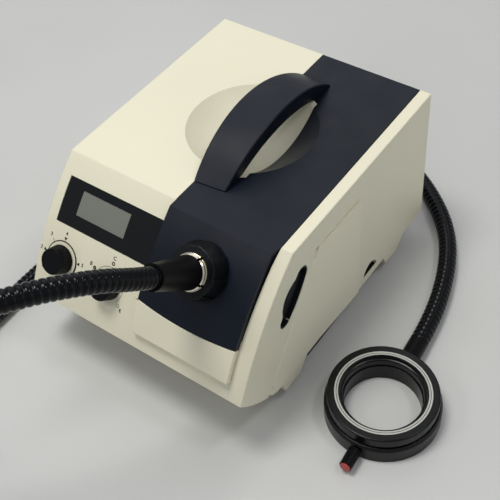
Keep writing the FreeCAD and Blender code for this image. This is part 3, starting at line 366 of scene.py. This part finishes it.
# One rib, drawn as half its outline in shares of its pitch and rise, and spun about the line of the guide
ribPitch = guideLength / guide["ribs"]
ribOutline = [
    (0.0, 0.0), (0.10, 0.35), (0.22, 0.78), (0.38, 0.98),
    (0.62, 0.98), (0.78, 0.78), (0.90, 0.35), (1.0, 0.0),
]
grooveRadius = guide["groove"] / 2 * millimetre
ribRise = guide["diameter"] / 2 * millimetre - grooveRadius
work = bmesh.new()
corners = [
    work.verts.new((share * ribPitch, 0.0, grooveRadius + rise * ribRise)) for share, rise in ribOutline
]
for first, second in zip(corners, corners[1:]):
    work.edges.new((first, second))
bmesh.ops.spin(
    work, geom=work.verts[:] + work.edges[:], cent=(0, 0, 0), axis=(1, 0, 0), dvec=(0, 0, 0),
    angle=math.tau, steps=guide["sides"], use_merge=True, use_duplicate=False,
)
bmesh.ops.remove_doubles(work, verts=work.verts, dist=tiny)
bmesh.ops.recalc_face_normals(work, faces=work.faces)
ribMesh = finishMesh(work, "guideRib")
ribMesh.shade_smooth()
straight = bpy.data.objects.new("guideStraight", ribMesh)
bpy.context.scene.collection.objects.link(straight)
repeat = straight.modifiers.new("ribs", "ARRAY")
repeat.count = guide["ribs"]
repeat.use_relative_offset = False
repeat.use_constant_offset = True
repeat.constant_offset_displace = (ribPitch, 0.0, 0.0)
repeat.use_merge_vertices = True
repeat.merge_threshold = tiny
bend = straight.modifiers.new("route", "CURVE")
bend.object = routeObject
bend.deform_axis = "POS_X"
bpy.context.view_layer.update()
hoseMesh = bpy.data.meshes.new_from_object(straight.evaluated_get(bpy.context.evaluated_depsgraph_get()))
bpy.data.objects.remove(straight)
bpy.data.objects.remove(routeObject)
work = bmesh.new()
work.from_mesh(hoseMesh)
bmesh.ops.holes_fill(work, edges=[e for e in work.edges if e.is_boundary])
bmesh.ops.recalc_face_normals(work, faces=work.faces)
work.to_mesh(hoseMesh)
work.free()

# The guide's sheath: glossier than the mouldings, with its own patches of polish and a shallower grain
sheath = {
    "dark": (0.0015, 0.002, 0.003),
    "pale": (0.0025, 0.003, 0.0045),
    "smooth": 0.11,
    "rough": 0.2,
    "shine": 0.17,
    "toneScale": 120.0,
    "polishScale": 70.0,
    "grain": 900.0,
    "grainStrength": 0.1,
    "grainDepth": 0.00003,
}
hoseBlack, tree, shader, place = newMaterial("guideSheath", sheath["rough"], shine=sheath["shine"])
sheathTone = noise(tree, place, sheath["toneScale"])
blendColours(tree, sheathTone, sheath["dark"], sheath["pale"], shader.inputs["Base Color"])
polish = noise(tree, place, sheath["polishScale"])
varied(tree, polish, sheath["smooth"], sheath["rough"], shader.inputs["Roughness"])
bump(tree, shader, noise(tree, place, sheath["grain"]), sheath["grainStrength"], sheath["grainDepth"])

hose = addPiece("guideHose", hoseMesh, "housing", hoseBlack)
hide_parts("light_guide")
print("guide hose,", len(hoseMesh.polygons), "faces")


# Mouldings: folds stay crisp, and outward edges inside the given rooms are rounded. Rooms and widths are in
# millimetres, "merge" is in metres, and "flat", "crisp" and "rounded" are turns in degrees.
softening = {"merge": 4e-6, "flat": 0.05, "crisp": 24.0, "rounded": 32.0, "segments": 2, "evenWeight": 80}


def inRoom(place, rooms):
    return any(all(low <= c <= high for c, (low, high) in zip(place, room)) for room in rooms)


def soften(nodeName, settings):
    mesh = nodes[nodeName].data.copy()
    work = bmesh.new()
    work.from_mesh(mesh)
    bmesh.ops.remove_doubles(work, verts=work.verts, dist=softening["merge"])
    flat = math.radians(softening["flat"])
    bmesh.ops.dissolve_limit(work, angle_limit=flat, verts=work.verts, edges=work.edges)
    rounding = work.edges.layers.float.new("bevel_weight_edge")
    for edge in work.edges:
        turn = edge.calc_face_angle(0.0)
        edge.smooth = turn < math.radians(softening["crisp"])
        middle = ((edge.verts[0].co + edge.verts[1].co) / 2 - origin) / millimetre
        sharp = turn > math.radians(softening["rounded"])
        if sharp and edge.is_convex and inRoom(middle, settings["rooms"]):
            edge[rounding] = 1.0
    work.to_mesh(mesh)
    work.free()
    mesh.shade_smooth()
    piece = addPiece(settings["name"], mesh, settings["body"], settings["finish"])
    edges = piece.modifiers.new("softEdges", "BEVEL")
    edges.width = settings["width"] * millimetre
    edges.segments = softening["segments"]
    edges.limit_method = "WEIGHT"
    edges.use_clamp_overlap = False
    edges.harden_normals = True
    edges.miter_outer = "MITER_ARC"
    even = piece.modifiers.new("evenShading", "WEIGHTED_NORMAL")
    even.mode = "FACE_AREA"
    even.weight = softening["evenWeight"]
    even.keep_sharp = True
    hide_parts(nodeName)


anywhere = ((-300, 300), (-300, 300), (-300, 300))
mouldings = {
    "cream_cover": {
        "name": "creamCover", "body": "housing", "slot": "cream_plastic", "finish": cream, "width": 0.9,
        "rooms": [((-101, -99.5), (-90, 197), (-1, 151)), ((-101, 1), (-0.3, 0.3), (149.7, 150.3))],
    },
    "dark_cover": {
        "name": "darkCover", "body": "housing", "slot": "navy_plastic", "finish": navy, "width": 0.5,
        "rooms": [],
    },
    "right_cover": {
        "name": "rightCover", "body": "housing", "slot": "cream_plastic", "finish": cream, "width": 0.7,
        "rooms": [((99.5, 101), (-90, 197), (100, 151)), ((99.5, 101), (-90, -20), (-1, 151))],
    },
    "lamp_door": {
        "name": "lampDoor", "body": "door", "slot": "cream_plastic", "finish": doorCreamPaintedLighter, "width": 0.6,
        "rooms": [((99.5, 101), (-90, 197), (-1, 151))],
    },
    "carry_handle": {
        "name": "carryHandle", "body": "housing", "slot": "navy_plastic", "finish": navy, "width": 1.0,
        "rooms": [anywhere],
    },
    "clamp_collar": {
        "name": "clampCollar", "body": "collar", "slot": "black_plastic", "finish": collarBlack,
        "width": 0.35, "rooms": [anywhere],
    },
    "intensity_knob": {
        "name": "intensityKnob", "body": "intensity_dial", "slot": "black_plastic", "finish": knobBlack,
        "width": 0.22, "rooms": [anywhere],
    },
    "aperture_knob": {
        "name": "apertureKnob", "body": "aperture_dial", "slot": "black_plastic", "finish": knobBlack,
        "width": 0.22, "rooms": [anywhere],
    },
    "ring_head": {
        "name": "ringHead", "body": "housing", "slot": "black_metal", "finish": ringBlack, "width": 0.35,
        "rooms": [anywhere],
    },
    "ring_base": {
        "name": "ringBase", "body": "housing", "slot": "black_metal", "finish": ringBlack, "width": 0.35,
        "rooms": [anywhere],
    },
    "trim_block": {
        "name": "trimBlock", "body": "housing", "slot": "cream_plastic", "finish": cream, "width": 0.6,
        "rooms": [anywhere],
    },
}
for nodeName, settings in mouldings.items():
    soften(nodeName, settings)
print("soft edges on", len(mouldings), "mouldings")


# Printed dials: drawn flat round each knob's axis in millimetres, then laid on the curved front.
# Arcs, marks and rings stand at angles in degrees from the right; a mark is a triangle or a short tick.
dials = {
    "intensityDial": {
        "x": -77.3,
        "arc": {"radius": 14.0, "start": 225.0, "end": -48.0, "startWidth": 0.28, "endWidth": 1.7},
        "marks": [
            (217.0, "1", "triangle"), (175.0, "2", "triangle"), (133.0, "3", "tick"), (91.0, "4", "triangle"),
            (10.0, "5", "triangle"),
        ],
    },
    "apertureDial": {
        "x": -30.1,
        "arc": {"radius": 13.9, "start": 222.0, "end": -44.0, "startWidth": 0.28, "endWidth": 0.28},
        "rings": [
            (222.0, "A", 1.35), (155.0, "B", 1.1), (90.0, "C", 0.75), (23.0, "D", 0.5), (-44.0, "E", 0.32),
        ],
    },
}
dialPrint = {
    "slope": 57.9,
    "lift": 0.03,
    "thick": 0.04,
    "labelHeight": 3.0,
    "labels": 20.8,
    "ringLabels": 21.2,
    "symbols": 17.0,
    "triangle": 1.7,
    "ticks": 15.6,
    "tickSize": (3.0, 0.36),
    "ringRadius": 1.5,
    "arcSteps": 60,
    "ringSteps": 24,
    "letterScale": 1.38,
    "letterSwell": 0.07,
}
frontCentre = (
    housing["frontRadius"] * math.sin(math.radians(housing["creaseSlope"])),
    housing["top"] - housing["frontRadius"] * math.cos(math.radians(housing["creaseSlope"])),
)


def onFront(x, up, lift):
    # a point drawn on the unrolled front, given by its distance up from the knobs' own slope
    slope = math.radians(dialPrint["slope"]) - up / housing["frontRadius"]
    reach = housing["frontRadius"] + lift
    return at(x, frontCentre[0] - reach * math.sin(slope), frontCentre[1] + reach * math.cos(slope))


def onCap(x, offset, lift):
    # a point over the flat plane that touches the front at a knob's axis
    slope = math.radians(dialPrint["slope"])
    along = Vector((offset.x, offset.y * math.cos(slope), offset.y * math.sin(slope)))
    return onFront(x, 0.0, lift) + along * millimetre


def addBand(work, radius, start, end, startWidth, endWidth, steps, centre=(0.0, 0.0)):
    # a radial edge spun about the knob's axis, then made wider towards its end
    # slack keeps the turn of the first edge at 0
    slack = 0.01
    turn = math.radians(end - start)
    rotation = Matrix.Rotation(math.radians(start), 4, "Z")
    inside = work.verts.new(rotation @ Vector((radius - startWidth / 2, 0.0, 0.0)))
    outside = work.verts.new(rotation @ Vector((radius + startWidth / 2, 0.0, 0.0)))
    whole = abs(abs(end - start) - 360.0) < tiny
    before = set(work.verts) - {inside, outside}
    bmesh.ops.spin(
        work, geom=[inside, outside, work.edges.new((inside, outside))], cent=(0, 0, 0), axis=(0, 0, 1),
        dvec=(0, 0, 0), angle=turn, steps=steps, use_merge=whole, use_duplicate=False,
    )
    made = [v for v in work.verts if v not in before]
    for v in made:
        if v.co.to_2d().length > radius:
            turned = (start + slack - math.degrees(math.atan2(v.co.y, v.co.x))) % 360.0 - slack
            swept = 0.0 if whole else turned / (start - end)
            v.co = v.co.normalized() * (radius + startWidth / 2 + (endWidth - startWidth) * swept)
    bmesh.ops.translate(work, verts=made, vec=(*centre, 0.0))


def addLabel(work, letters, place, height):
    textCurve = bpy.data.curves.new("label", "FONT")
    textCurve.body = letters
    textCurve.size = height * dialPrint["letterScale"]
    textCurve.align_x = "CENTER"
    textCurve.align_y = "CENTER"
    textCurve.offset = dialPrint["letterSwell"]
    textObject = bpy.data.objects.new("label", textCurve)
    bpy.context.scene.collection.objects.link(textObject)
    bpy.context.view_layer.update()
    textMesh = bpy.data.meshes.new_from_object(textObject)
    textMesh.transform(Matrix.Translation((*place, 0.0)))
    work.from_mesh(textMesh)
    bpy.data.objects.remove(textObject)


def around(radius, angle):
    return radius * math.cos(math.radians(angle)), radius * math.sin(math.radians(angle))


def addMark(work, angle, shape):
    radius = dialPrint["symbols"] if shape == "triangle" else dialPrint["ticks"]
    place = Matrix.Translation((*around(radius, angle), 0.0))
    if shape == "triangle":
        # one corner points at the knob
        turned = place @ Matrix.Rotation(math.radians(angle + 90.0), 4, "Z")
        bmesh.ops.create_circle(work, cap_ends=True, radius=dialPrint["triangle"], segments=3, matrix=turned)
    else:
        length, width = dialPrint["tickSize"]
        turned = place @ Matrix.Rotation(math.radians(angle), 4, "Z")
        turned = turned @ Matrix.Diagonal((length, width, 1.0, 1.0))
        bmesh.ops.create_grid(work, x_segments=1, y_segments=1, size=0.5, matrix=turned)


def block(name, corner, setup):
    # a block whose corners are placed by which side of its middle they are on, along each axis
    work = bmesh.new()
    bmesh.ops.create_cube(work, size=1.0)
    for v in work.verts:
        v.co = corner(setup, *(c > 0 for c in v.co))
    bmesh.ops.recalc_face_normals(work, faces=work.faces)
    return finishMesh(work, name)


# The intensity knob's pointer is a black bar set flush in its cap
pointer = {"turn": 175.0, "inner": 5.55, "outer": 10.0, "halfWidth": 0.78, "low": 9.25, "top": 10.99}


def pointerCorner(bar, isOuter, isLeft, isTop):
    reach = bar["outer"] if isOuter else bar["inner"]
    side = bar["halfWidth"] if isLeft else -bar["halfWidth"]
    turned = Matrix.Rotation(math.radians(bar["turn"]), 4, "Z") @ Vector((reach, side, 0.0))
    return onCap(dials["intensityDial"]["x"], turned, bar["top"] if isTop else bar["low"])


pointerMesh = block("intensityPointer", pointerCorner, pointer)
addPiece("intensityPointer", pointerMesh, "intensity_dial", knobBlack)

# A dark shelf inside the finger notch is painted shade for the dark inside behind it, and a dark strip under
# the lower edge of each side is a painted shadow where the sides meet the floor
strips = {
    "notchShadeShelf": {"low": (93.0, 97.8, 25.7), "high": (99.1, 118.0, 26.25), "finish": sliderBlack},
    # the two strips under the sides are painted contact shadow, not parts of the housing
    "rightPaintedShadow": {"low": (97.2, 14.6, 18.9), "high": (99.7, 130.4, 19.9), "finish": rubber},
    "leftPaintedShadow": {"low": (-99.7, 14.6, 18.9), "high": (-97.2, 130.4, 19.9), "finish": rubber},
}


def stripCorner(strip, *isHigh):
    return at(*(high if end else low for end, low, high in zip(isHigh, strip["low"], strip["high"])))


for name, strip in strips.items():
    addPiece(name, block(name, stripCorner, strip), "housing", strip["finish"])
print("pointer and", len(strips), "dark strips")

for name, dial in dials.items():
    work = bmesh.new()
    addBand(work, steps=dialPrint["arcSteps"], **dial["arc"])
    for angle, letters, shape in dial.get("marks", []):
        addMark(work, angle, shape)
        addLabel(work, letters, around(dialPrint["labels"], angle), dialPrint["labelHeight"])
    for angle, letters, wall in dial.get("rings", []):
        middle = around(dialPrint["symbols"], angle)
        innerRadius = dialPrint["ringRadius"] - wall / 2
        addBand(work, innerRadius, 0.0, 360.0, wall, wall, dialPrint["ringSteps"], middle)
        addLabel(work, letters, around(dialPrint["ringLabels"], angle), dialPrint["labelHeight"])
    raised = bmesh.ops.extrude_face_region(work, geom=work.faces[:])
    tops = {v for v in raised["geom"] if isinstance(v, bmesh.types.BMVert)}
    for v in work.verts:
        lift = dialPrint["lift"] + (dialPrint["thick"] if v in tops else 0.0)
        v.co = onFront(dial["x"] + v.co.x, v.co.y, lift)
    bmesh.ops.recalc_face_normals(work, faces=work.faces)
    addPiece(name, finishMesh(work, name), "housing", ink)
print("printed", len(dials), "dials")


# Floor and light: the lamps are placed in metres, and the small card in millimetres from the housing
floorHalf = 8.0
floorMaterial, tree, shader, place = newMaterial("paleFloor", 0.6)
floorTone = noise(tree, place, 3.0)
blendColours(tree, floorTone, (0.55, 0.55, 0.54), (0.60, 0.60, 0.59), shader.inputs["Base Color"])
work = bmesh.new()
bmesh.ops.create_grid(work, x_segments=1, y_segments=1, size=floorHalf)
floorMesh = finishMesh(work, "floor")
floorMesh.materials.append(floorMaterial)
floor = bpy.data.objects.new("floor", floorMesh)
bpy.context.scene.collection.objects.link(floor)

white = (1.0, 1.0, 1.0)
warmWhite = (1.0, 0.99, 0.955)
lamps = {
    "keyLamp": {
        "place": (-0.41, -0.31, 2.07), "target": (0.0, 0.0, 0.08),
        "size": 0.7, "power": 20.0, "colour": warmWhite,
    },
    "ceilingLamp": {
        "place": (0.82, 0.36, 1.9), "target": (0.0, 0.0, 0.1),
        "size": 0.36, "power": 4.4, "colour": white,
    },
    "rearLamp": {
        "place": (1.6, 0.5, 0.7), "target": (0.05, 0.0, 0.08),
        "size": 1.2, "power": 1.8, "colour": white,
    },
    "wallCard": {
        "place": (-1.1, 1.35, 1.75), "target": (0.0, 0.06, 0.1),
        "size": 2.2, "power": 9.0, "colour": white,
    },
    "frontCard": {
        "place": tuple(at(-184.0, -381.0, 584.0)), "target": tuple(at(43.6, -45.0, 140.0)),
        "size": 0.14, "power": 0.45, "colour": white,
    },
}


def addLamp(name, setup):
    data = bpy.data.lights.new(name, "AREA")
    data.shape = "DISK"
    data.size = setup["size"]
    data.energy = setup["power"]
    data.color = setup["colour"]
    lamp = bpy.data.objects.new(name, data)
    bpy.context.scene.collection.objects.link(lamp)
    lamp.location = setup["place"]
    aim = Vector(setup["target"]) - Vector(setup["place"])
    lamp.rotation_euler = aim.to_track_quat("-Z", "Y").to_euler()


for name, setup in lamps.items():
    addLamp(name, setup)
sky = {"colour": (0.78, 0.80, 0.83, 1.0), "strength": 0.42}
world = bpy.data.worlds.new("studio")
world.use_nodes = True
backdrop = world.node_tree.nodes["Background"]
backdrop.inputs["Color"].default_value = sky["colour"]
backdrop.inputs["Strength"].default_value = sky["strength"]
bpy.context.scene.world = world
bpy.context.scene.view_settings.view_transform = "Standard"
print("floor and", len(lamps), "lamps")
